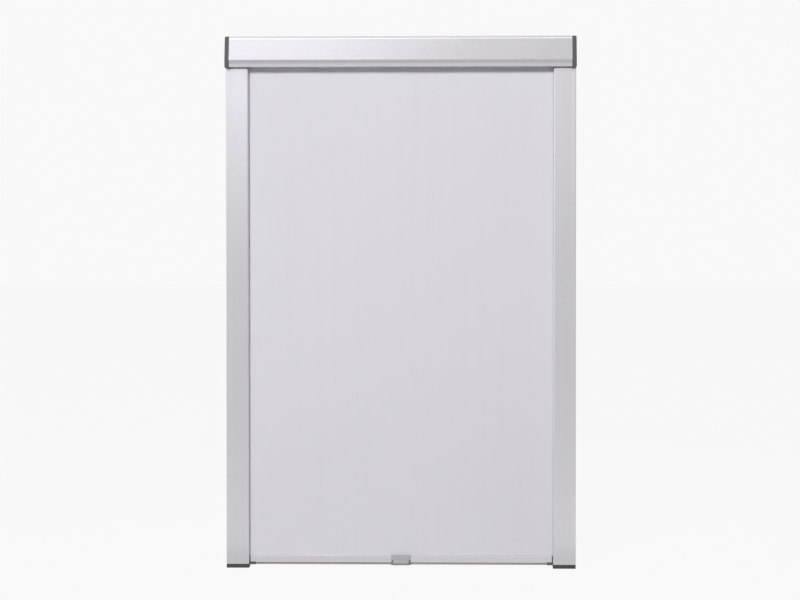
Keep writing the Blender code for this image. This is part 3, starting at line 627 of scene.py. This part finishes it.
sealRubber = makeRubber("sealRubber", {
    "colour": (0.35, 0.333, 0.333),
    "tones": (0.85, 1.15),
    "dust": 0.5,
    "dustColour": (0.45, 0.44, 0.43, 1.0),
    "stretch": (8.0, 1500.0, 1500.0),
    "smudgeScale": 18.0,
    "grainScale": 1900.0,
    "grainDepth": 0.00003,
    "grainBump": 0.5,
    "roughness": (0.62, 0.8),
    "ior": 1.5,
})
pileFibre = makePile("pileFibre", {
    "colour": (0.36, 0.36, 0.375),
    "tones": (0.55, 1.5),
    "span": (0.35, 0.65),
    "fibreScale": (5200.0, 1500.0, 5200.0),
    "fibreRough": 0.7,
    "fibreDepth": 0.0002,
    "fibreBump": 0.9,
    "tuft": 0.4,
    "tuftScale": (400.0, 400.0, 260.0),
    "tuftRough": 0.6,
    "tuftShade": 0.7,
    "roughness": 0.95,
    "sheen": 0.25,
})
print("materials ready")


def camel(nodeName):
    first, *rest = nodeName.split("_")
    return first + "".join(word.title() for word in rest)


def smoothShade(mesh):
    mesh.shade_smooth()
    mesh.set_sharp_from_angle(angle=sharpAngle)


def addPiece(name, shape, material, body, stands):
    mesh = bpy.data.meshes.new(name)
    shape.to_mesh(mesh)
    shape.free()
    mesh.materials.append(material)
    smoothShade(mesh)
    thing = bpy.data.objects.new(name, mesh)
    bpy.context.scene.collection.objects.link(thing)
    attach(thing, body)
    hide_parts(*stands)
    return thing


def solidOf(nodeName):
    # A copy of a node's mesh, merged, with each flat face whole
    shape = bmesh.new()
    shape.from_mesh(nodes[nodeName].data)
    bmesh.ops.remove_doubles(shape, verts=shape.verts[:], dist=mergeDistance)
    bmesh.ops.dissolve_limit(
        shape,
        angle_limit=flatAngle,
        verts=shape.verts[:],
        edges=shape.edges[:],
        use_dissolve_boundaries=False,
    )
    bmesh.ops.remove_doubles(shape, verts=shape.verts[:], dist=shortEdge)
    return shape


def breakEdges(shape, width, segments):
    # Small rounds on the sharp edges; their corners carry the edgeWear attribute
    sharp = [
        edge for edge in shape.edges if edge.is_manifold and edge.calc_face_angle() > sharpAngle
    ]
    made = bmesh.ops.bevel(
        shape,
        geom=sharp,
        offset=width,
        offset_type="OFFSET",
        segments=segments,
        profile=0.5,
        affect="EDGES",
        clamp_overlap=True,
        material=-1,
    )
    layer = shape.loops.layers.float.new("edgeWear")
    for face in made["faces"]:
        for corner in face.loops:
            corner[layer] = 1.0


def flattenNormals(thing):
    # The big faces stay flat to the eye, and only the rounds bend the light
    weighted = thing.modifiers.new("weightedNormals", "WEIGHTED_NORMAL")
    weighted.keep_sharp = True
    weighted.weight = 100


def paintShade(shape, shadeAt):
    # How much painted shade each corner of a face gets, from 0 to 1, for the attribute that carries
    # it
    layer = shape.loops.layers.float.new("grime")
    for face in shape.faces:
        centre = face.calc_center_median()
        for corner in face.loops:
            corner[layer] = shadeAt(centre, corner.vert.co)


def dressSolid(nodeName, material, edge, shadeAt=None):
    shape = solidOf(nodeName)
    breakEdges(shape, edge["width"], edge["segments"])
    if shadeAt:
        paintShade(shape, shadeAt)
    body = nodes[nodeName]["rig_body"]
    thing = addPiece(camel(nodeName), shape, material, body, [nodeName])
    flattenNormals(thing)
    return thing


# Painted shade on the cassette's cove and lip, standing in for the shade under the face's overhang
coveShade = {
    "reach": 0.006,  # how far behind the front the cove and the lip lie
    "top": 0.0121,  # heights above the cassette's lower edge
    "step": 0.0068,
    "full": 0.92,
    "stepFoot": 0.3,
}
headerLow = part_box("header_profile")[0]


def paintedCoveShade(centre, place):
    # Painted shade: darkest on the slope under the face, then fading down the lip
    height = place.z - headerLow.z
    if place.y > headerLow.y + coveShade["reach"] or centre.z - headerLow.z > coveShade["top"]:
        return 0.0
    if height > coveShade["step"]:
        return coveShade["full"]
    return coveShade["stepFoot"] * max(height, 0.0) / coveShade["step"]


gripSlit = {
    "cheek": 0.0009,
    "width": 0.0021,
    "height": 0.0089,
    "margin": 0.00008,
    "lipHeight": 0.0026,
    "lipDepth": 0.001,
    "paintedLipShade": 0.68,
}
gripLow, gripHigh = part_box("pull_grip")


def paintedSlitShade(centre, place):
    # Painted shade in the two blind slits beside the grip's cheeks, and on the finger lip's front
    outer = gripHigh.x - gripSlit["cheek"] + gripSlit["margin"]
    inner = outer - gripSlit["width"] - gripSlit["margin"] * 2
    slitTop = gripLow.z + gripSlit["height"] + gripSlit["margin"]
    if inner < abs(centre.x) < outer and centre.z < slitTop:
        return 1.0
    low = centre.z < gripLow.z + gripSlit["lipHeight"]
    front = centre.y < gripLow.y + gripSlit["lipDepth"]
    return gripSlit["paintedLipShade"] if low and front else 0.0


capFoot = {
    "height": 0.009,
    "grime": 0.9,
}
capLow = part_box("header_end_cap_left")[0]


def paintedCapShade(centre, place):
    # Painted shade on the rounded foot of each end cap, darkest at the bottom
    share = 1 - (place.z - capLow.z) / capFoot["height"]
    return capFoot["grime"] * min(max(share, 0.0), 1.0)


extrusionEdge = {"width": 0.00014, "segments": 2}
mouldEdge = {"width": 0.00025, "segments": 2}
stampEdge = {"width": 0.00018, "segments": 2}

dressSolid("header_profile", headerMetal, extrusionEdge, paintedCoveShade)
for side in ("left", "right"):
    dressSolid(f"side_rail_{side}", railMetal, extrusionEdge)
    dressSolid(f"header_end_cap_{side}", capPlastic, mouldEdge, paintedCapShade)
    dressSolid(f"rail_foot_cap_{side}", footPlastic, mouldEdge)
    dressSolid(f"bar_guide_{side}", capPlastic, mouldEdge)
    dressSolid(f"mounting_bracket_{side}", zincPlate, stampEdge)
dressSolid("bottom_bar", barMetal, extrusionEdge)
dressSolid("bar_seal", sealRubber, mouldEdge)
dressSolid("pull_grip", gripPlastic, mouldEdge, paintedSlitShade)
print("extrusions and moulded parts dressed")


turnedEdge = {"width": 0.00012, "segments": 2}
leafEdge = {"width": 0.00005, "segments": 1}

dressSolid("roller_tube", headerMetal, turnedEdge)
for nodeName in ("drive_end_plug", "idle_end_plug", "shaft_bearing", "spring_anchor"):
    dressSolid(nodeName, nylon, turnedEdge)
for nodeName in ("idle_pin", "spring_shaft"):
    dressSolid(nodeName, springSteel, turnedEdge)
for nodeName in ("brake_spring_left", "brake_spring_right"):
    dressSolid(nodeName, springSteel, leafEdge)

spring = {
    "turns": 20,
    "steps": 48,  # to a turn
    "sides": 12,
    "radius": 0.008,
    "wire": 0.0007,
}


def rollerAxis():
    low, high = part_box("roller_tube")
    return (low.y + high.y) / 2, (low.z + high.z) / 2


def makeTorsionSpring():
    # Round wire wound about the roller's axis, where the solid has straight runs
    low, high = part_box("torsion_spring")
    axisY, axisZ = rollerAxis()
    start, stop = low.x + spring["wire"], high.x - spring["wire"]
    steps = spring["turns"] * spring["steps"]
    shape = bmesh.new()
    bmesh.ops.create_circle(
        shape,
        segments=spring["sides"],
        radius=spring["wire"],
        matrix=Matrix.Translation((start, axisY + spring["radius"], axisZ)),
    )
    bmesh.ops.spin(
        shape,
        geom=shape.verts[:] + shape.edges[:],
        cent=(start, axisY, axisZ),
        axis=(1, 0, 0),
        dvec=((stop - start) / steps, 0, 0),
        angle=math.tau * spring["turns"],
        steps=steps,
        use_merge=False,
        use_duplicate=False,
    )
    bmesh.ops.holes_fill(shape, edges=[edge for edge in shape.edges if edge.is_boundary])
    bmesh.ops.recalc_face_normals(shape, faces=shape.faces[:])
    body = nodes["torsion_spring"]["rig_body"]
    return addPiece("torsionSpring", shape, springSteel, body, ["torsion_spring"])


makeTorsionSpring()
print("inner parts dressed")


screw = {
    "steps": 32,
    "headHeight": 0.0016,
    "shankShare": 0.6,  # the shank is thinner than this share of the head
    "chamfer": 0.0005,
    "roundFall": 0.4,  # the rounded corner's middle and end, as shares of the chamfer
    "roundIn": 0.45,
    "roundEnd": 1.2,
    "flatShare": 1.1,  # of the cross, where the head's flat top ends
    "crossWidth": 0.00085,
    "crossReach": 0.0017,
    "crossDepth": 0.0011,
}


def screwProfile(point, top, shankRadius, headRadius):
    # Places along the screw and radii there, from its point to the middle of its head
    outward = 1 if top > point else -1
    seat = top - outward * screw["headHeight"]
    fall = outward * screw["chamfer"]
    return [
        (point, 0),
        (point, shankRadius / 2),
        (point + outward * shankRadius, shankRadius),
        (seat, shankRadius),
        (seat, headRadius),
        (top - fall, headRadius),
        (top - fall * screw["roundFall"], headRadius - screw["chamfer"] * screw["roundIn"]),
        (top, headRadius - screw["chamfer"] * screw["roundEnd"]),
        (top, screw["crossReach"] * screw["flatShare"]),
        (top, 0),
    ]


def makeScrew(nodeName):
    # Turned on its axis from the node's own box, with a cross recess pressed into the head
    low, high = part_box(nodeName)
    axisY, axisZ = (low.y + high.y) / 2, (low.z + high.z) / 2
    headRadius = (high.z - low.z) / 2
    point, top = (low.x, high.x) if low.x > 0 else (high.x, low.x)
    solid = nodes[nodeName].data.vertices
    radii = [math.hypot(vert.co.y - axisY, vert.co.z - axisZ) for vert in solid]
    shankRadius = max(radius for radius in radii if radius < headRadius * screw["shankShare"])

    shape = bmesh.new()
    profile = screwProfile(point, top, shankRadius, headRadius)
    points = [shape.verts.new((x, axisY, axisZ + radius)) for x, radius in profile]
    lines = [shape.edges.new(pair) for pair in zip(points, points[1:])]
    bmesh.ops.spin(
        shape,
        geom=points + lines,
        cent=(0, axisY, axisZ),
        axis=(1, 0, 0),
        dvec=(0, 0, 0),
        angle=math.tau,
        steps=screw["steps"],
        use_merge=True,
        use_duplicate=False,
    )
    bmesh.ops.remove_doubles(shape, verts=shape.verts[:], dist=mergeDistance)
    bmesh.ops.recalc_face_normals(shape, faces=shape.faces[:])
    thing = addPiece(camel(nodeName), shape, zincPlate, "root", [nodeName])

    cross = bmesh.new()
    narrow, wide, deep = screw["crossWidth"], screw["crossReach"] * 2, screw["crossDepth"] * 2
    for size in ((deep, narrow, wide), (deep, wide, narrow)):
        blade = bmesh.ops.create_cube(cross, size=1.0)["verts"]
        bmesh.ops.scale(cross, vec=size, verts=blade)
        bmesh.ops.translate(cross, vec=(top, axisY, axisZ), verts=blade)
    cutAway(thing, cross)


def cutAway(thing, cutterShape):
    mesh = bpy.data.meshes.new("cutter")
    cutterShape.to_mesh(mesh)
    cutterShape.free()
    cutter = bpy.data.objects.new("cutter", mesh)
    bpy.context.scene.collection.objects.link(cutter)
    change = thing.modifiers.new("cut", "BOOLEAN")
    change.operation = "DIFFERENCE"
    change.object = cutter
    change.use_self = True  # the cross's two blades overlap
    bpy.context.view_layer.update()
    evaluated = thing.evaluated_get(bpy.context.evaluated_depsgraph_get())
    done = bpy.data.meshes.new_from_object(evaluated)
    thing.modifiers.clear()
    thing.data = done
    bpy.data.objects.remove(cutter)
    smoothShade(thing.data)


for side in ("left", "right"):
    for level in ("upper", "lower"):
        makeScrew(f"cap_screw_{side}_{level}")
print("screws ready")


cloth = {
    "across": 120,
    "down": 190,
    "thickness": 0.00036,
    "ripple": 0.0006,
    "rippleWide": 0.085,
    "rippleTall": 0.42,
    "rippleShare": 0.7,
    "slowWide": 0.24,
    "slowTall": 0.3,
    "slowSeed": 5,
    "lift": 0.8,  # moves the waves away from the roller; what still lies behind is made flat
    "calmSide": 0.03,  # how far from each edge the waves come to rest
    "calmFoot": 0.05,
    "calmTop": 0.03,
    "rollTurns": 2,
    "rollSteps": 64,
    "layGap": 0.00006,  # between the sheet and the turn that it leaves
    "tubeGap": 0.0005,  # between the tube and the middle of the innermost turn
}
hemEdge = {"width": 0.00012, "segments": 2}
sheetLow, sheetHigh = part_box("fabric_sheet")
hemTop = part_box("hem_strip")[1].z
clothPlane = (sheetLow.y + sheetHigh.y) / 2
clothWidth = sheetHigh.x - sheetLow.x
clothLength = sheetHigh.z - hemTop


def calm(distance, reach):
    # 0 at the edge, rising smoothly to 1 at reach
    share = min(max(distance / reach, 0.0), 1.0)
    return share * share * (3 - 2 * share)


def rippleAt(x, z):
    # How far the cloth stands out of its plane, always away from the roller
    quiet = (
        calm(clothWidth / 2 - abs(x), cloth["calmSide"])
        * calm(z - hemTop, cloth["calmFoot"])
        * calm(sheetHigh.z - z, cloth["calmTop"])
    )
    wave = noise.noise(Vector((x / cloth["rippleWide"], 0, z / cloth["rippleTall"])))
    slow = noise.noise(
        Vector((x / cloth["slowWide"], cloth["slowSeed"], z / cloth["slowTall"]))
    )
    height = max(wave * cloth["rippleShare"] + slow + cloth["lift"], 0.0)
    return quiet * cloth["ripple"] * height


def thicken(shape, thickness):
    # The wall grows back through the faces, so they first move out by half of it
    shape.normal_update()
    for vert in shape.verts:
        vert.co += vert.normal * thickness / 2
    bmesh.ops.solidify(shape, geom=shape.faces[:], thickness=thickness)
    bmesh.ops.recalc_face_normals(shape, faces=shape.faces[:])


def makeClothSheet():
    shape = bmesh.new()
    uvLayer = shape.loops.layers.uv.new("flatCloth")
    bmesh.ops.create_grid(
        shape,
        x_segments=cloth["across"],
        y_segments=cloth["down"],
        size=0.5,
        matrix=Matrix.Rotation(math.pi / 2, 4, "X"),
    )
    bmesh.ops.scale(shape, vec=(clothWidth, 1, clothLength), verts=shape.verts[:])
    middle = (sheetHigh.z + hemTop) / 2
    bmesh.ops.translate(shape, vec=(0, clothPlane, middle), verts=shape.verts[:])
    for face in shape.faces:
        for corner in face.loops:
            corner[uvLayer].uv = (corner.vert.co.x, corner.vert.co.z)
    for vert in shape.verts:
        vert.co.y += rippleAt(vert.co.x, vert.co.z)
    bmesh.ops.recalc_face_normals(shape, faces=shape.faces[:])
    thicken(shape, cloth["thickness"])
    sheet = addPiece(
        "clothSheet", shape, blackoutCloth, "root", ["fabric_sheet"]
    )
    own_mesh(sheet)
    return sheet


def makeClothRoll():
    # The turns left on the tube: one strip, rolled up from where the sheet leaves it
    low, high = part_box("fabric_roll")
    axisY, axisZ = rollerAxis()
    outer = clothPlane - axisY - cloth["thickness"] - cloth["layGap"]
    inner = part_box("roller_tube")[1].z - axisZ + cloth["tubeGap"]
    steps = cloth["rollTurns"] * cloth["rollSteps"]
    shape = bmesh.new()
    uvLayer = shape.loops.layers.uv.new("flatCloth")
    ends = [shape.verts.new((x, axisY + outer, axisZ)) for x in (low.x, high.x)]
    edge = shape.edges.new(ends)
    run = 0.0
    for step in range(1, steps + 1):
        angle = math.tau * cloth["rollTurns"] * step / steps
        radius = outer + (inner - outer) * step / steps
        grown = bmesh.ops.extrude_edge_only(shape, edges=[edge])["geom"]
        face = next(part for part in grown if isinstance(part, bmesh.types.BMFace))
        fresh = [part for part in grown if isinstance(part, bmesh.types.BMVert)]
        edge = next(
            part
            for part in grown
            if isinstance(part, bmesh.types.BMEdge) and set(part.verts) == set(fresh)
        )
        length = math.tau * cloth["rollTurns"] * radius / steps
        for vert in fresh:
            vert.co.y = axisY + radius * math.cos(angle)
            vert.co.z = axisZ + radius * math.sin(angle)
        for corner in face.loops:
            end = run + length if corner.vert in fresh else run
            corner[uvLayer].uv = (corner.vert.co.x, end)
        run += length
    bmesh.ops.recalc_face_normals(shape, faces=shape.faces[:])
    thicken(shape, cloth["thickness"])
    roll = addPiece("clothRoll", shape, blackoutCloth, "roller", ["fabric_roll"])
    return roll


def makeHemStrip():
    # The welded strip: rounded in the bar's groove, with the cloth's hem standing above
    hem = dressSolid("hem_strip", hemCloth, hemEdge)
    uvLayer = hem.data.uv_layers.new(name="flatCloth")
    for corner in hem.data.loops:
        place = hem.data.vertices[corner.vertex_index].co
        uvLayer.data[corner.index].uv = (place.x, place.z + place.y)
    return hem


makeHemStrip()
makeClothRoll()
makeClothSheet()
print("cloth ready")


pile = {
    "rows": 420,
    "nap": 0.00022,  # how far the heights of the fibres differ
    "tipReach": 1e-5,  # corners this near to the tips' plane are tips
    "across": 700,  # scales of the unevenness in height
    "along": 900,
    "leanAcross": 500,  # and of how far the tips lean
    "leanAlong": 1300,
    "leanSeed": 7,
}


def makePileStrip(nodeName):
    # Backing and nap: the solid's length is cut into rows, and the tips are uneven
    shape = solidOf(nodeName)
    low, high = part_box(nodeName)
    facing = -1 if nodeName.endswith("back") else 1
    tip = high.y if facing > 0 else low.y
    half = (high.z - low.z) / 2
    longEdges = [
        edge for edge in shape.edges if abs(edge.verts[0].co.z - edge.verts[1].co.z) > half
    ]
    bmesh.ops.subdivide_edges(
        shape, edges=longEdges, cuts=pile["rows"] - 1, use_grid_fill=True
    )
    for vert in shape.verts:
        if abs(vert.co.y - tip) > pile["tipReach"]:
            continue
        x, z = vert.co.x, vert.co.z
        ragged = noise.noise(Vector((x * pile["across"], 0, z * pile["along"])))
        vert.co.y -= facing * pile["nap"] * (1 + ragged) / 2  # the noise runs from -1 to 1
        lean = Vector((x * pile["leanAcross"], pile["leanSeed"], z * pile["leanAlong"]))
        vert.co.x += pile["nap"] / 2 * noise.noise(lean)
    return addPiece(camel(nodeName), shape, pileFibre, "root", [nodeName])


for side in ("left", "right"):
    for cheek in ("front", "back"):
        makePileStrip(f"pile_seal_{side}_{cheek}")
print("pile ready")


studio = {
    "white": 0.94,
    "airLight": 0.12,
    "floorColour": (0.86, 0.86, 0.86, 1.0),
    "floorSize": 60.0,
    "floorGap": 0.0002,
    "floorGlow": 0.965,
    "floorShare": 0.96,  # how much of the floor is its own white; the rest is lit and shadowed
}
lamps = {
    "key": {
        "place": (-0.8, -4.28, 1.03),
        "aim": (0.0, 0.0, -0.35),
        "size": (1.3, 0.62),
        "power": 148.0,
        "lights": True,  # the lamps without this are only what metal mirrors
    },
    "frontBox": {
        "place": (-0.5, -3.0, 0.33),
        "aim": (-0.1, 0.0, -0.3),
        "size": (1.75, 0.9),
        "power": 3.6,
    },
    "topBox": {
        "place": (-0.58, -1.35, 1.2),
        "aim": (-0.1, 0.0, -0.05),
        "size": (1.2, 1.2),
        "power": 2.9,
    },
    "overheadStrip": {
        "place": (0.25, -1.1, 1.4),
        "aim": (0.0, 0.0, 0.0),
        "size": (2.6, 0.34),
        "power": 6.4,
    },
    "rearBox": {
        "place": (-0.6, 0.5, 1.9),
        "aim": (0.0, 0.0, 0.0),
        "size": (2.4, 1.6),
        "power": 5.0,
    },
    "leftBox": {
        "place": (-2.2, -1.3, -0.3),
        "aim": (0.2, 0.0, -0.4),
        "size": (1.2, 1.6),
        "power": 8.5,
    },
    "lowCard": {
        "place": (0.0, -0.85, -0.91),
        "aim": (0.0, -0.85, 0.0),
        "size": (2.4, 1.4),
        "power": 1.6,
    },
    "backFill": {
        "place": (0.35, 3.2, -0.35),
        "aim": (0.0, 0.0, -0.45),
        "size": (0.7, 0.7),
        "power": 7.0,
        "spread": 70.0,  # degrees; a narrow beam keeps off the floor
        "lights": True,
    },
}
cameraView = {
    "place": (0.1321, -4.5, -0.353),
    "yaw": -1.707,  # degrees, to the left
    "pitch": -1.31,
    "roll": -0.024,
    "lens": 115.1,
    "sensor": 36.0,
    "farEnd": 100.0,
}


def whiteForCamera(tree):
    # 1 where the ray comes from the camera, a mirror or glass, 0 where it only lights the object
    path = addNode(tree, "ShaderNodeLightPath").outputs
    seen = calc(tree, "MAXIMUM", path["Is Camera Ray"], path["Is Glossy Ray"])
    return calc(tree, "MAXIMUM", seen, path["Is Transmission Ray"])


def makeFloor():
    shape = bmesh.new()
    bmesh.ops.create_grid(shape, x_segments=1, y_segments=1, size=studio["floorSize"] / 2)
    floorLevel = cadBox[0][2] - studio["floorGap"]
    bmesh.ops.translate(shape, vec=(0, 0, floorLevel), verts=shape.verts[:])
    mesh = bpy.data.meshes.new("floor")
    shape.to_mesh(mesh)
    shape.free()
    material = bpy.data.materials.new("floorPaper")
    material.use_nodes = True
    tree = material.node_tree
    tree.nodes.remove(tree.nodes["Principled BSDF"])
    paper = addNode(tree, "ShaderNodeBsdfDiffuse")
    paper.inputs["Color"].default_value = studio["floorColour"]
    glow = addNode(tree, "ShaderNodeEmission")
    glow.inputs["Color"].default_value = (*[studio["floorGlow"]] * 3, 1.0)
    both = addNode(tree, "ShaderNodeMixShader")
    ownWhite = calc(tree, "MULTIPLY", whiteForCamera(tree), studio["floorShare"])
    feed(tree, both.inputs[0], ownWhite)
    feed(tree, both.inputs[1], paper.outputs[0])
    feed(tree, both.inputs[2], glow.outputs[0])
    feed(tree, tree.nodes["Material Output"].inputs["Surface"], both.outputs[0])
    mesh.materials.append(material)
    floor = bpy.data.objects.new("floor", mesh)
    bpy.context.scene.collection.objects.link(floor)


def makeWorld():
    world = bpy.data.worlds.new("studioAir")
    bpy.context.scene.world = world
    world.use_nodes = True
    tree = world.node_tree
    light = tree.nodes["Background"]
    light.inputs["Strength"].default_value = studio["airLight"]
    light.inputs["Color"].default_value = (1.0, 1.0, 1.0, 1.0)
    backdrop = addNode(tree, "ShaderNodeBackground")
    backdrop.inputs["Color"].default_value = (*[studio["white"]] * 3, 1.0)
    both = addNode(tree, "ShaderNodeMixShader")
    feed(tree, both.inputs[0], whiteForCamera(tree))
    feed(tree, both.inputs[1], light.outputs[0])
    feed(tree, both.inputs[2], backdrop.outputs[0])
    feed(tree, tree.nodes["World Output"].inputs["Surface"], both.outputs[0])


def makeLamp(name, look):
    lamp = bpy.data.lights.new(name, "AREA")
    lamp.shape = "RECTANGLE"
    lamp.size, lamp.size_y = look["size"]
    lamp.energy = look["power"]
    lamp.spread = math.radians(look.get("spread", 180.0))
    light = bpy.data.objects.new(name, lamp)
    bpy.context.scene.collection.objects.link(light)
    light.location = look["place"]
    towards = Vector(look["aim"]) - light.location
    light.rotation_euler = towards.to_track_quat("-Z", "Y").to_euler()
    lights = look.get("lights", False)
    light.visible_camera = False
    light.visible_diffuse = lights
    light.visible_glossy = not lights


def makeCamera():
    camera = bpy.data.objects.new("camera", bpy.data.cameras.new("camera"))
    bpy.context.scene.collection.objects.link(camera)
    yaw, pitch, roll = (math.radians(cameraView[name]) for name in ("yaw", "pitch", "roll"))
    forward = Vector(
        (math.sin(yaw) * math.cos(pitch), math.cos(yaw) * math.cos(pitch), math.sin(pitch))
    )
    aimed = forward.to_track_quat("-Z", "Y").to_matrix() @ Matrix.Rotation(roll, 3, "Z")
    camera.location = cameraView["place"]
    camera.rotation_euler = aimed.to_euler()
    camera.data.lens = cameraView["lens"]
    camera.data.sensor_width = cameraView["sensor"]
    camera.data.clip_end = cameraView["farEnd"]
    bpy.context.scene.camera = camera


makeCamera()
makeFloor()
makeWorld()
for lampName, lampLook in lamps.items():
    makeLamp(lampName, lampLook)
bpy.context.scene.view_settings.view_transform = "Standard"
print("studio ready")
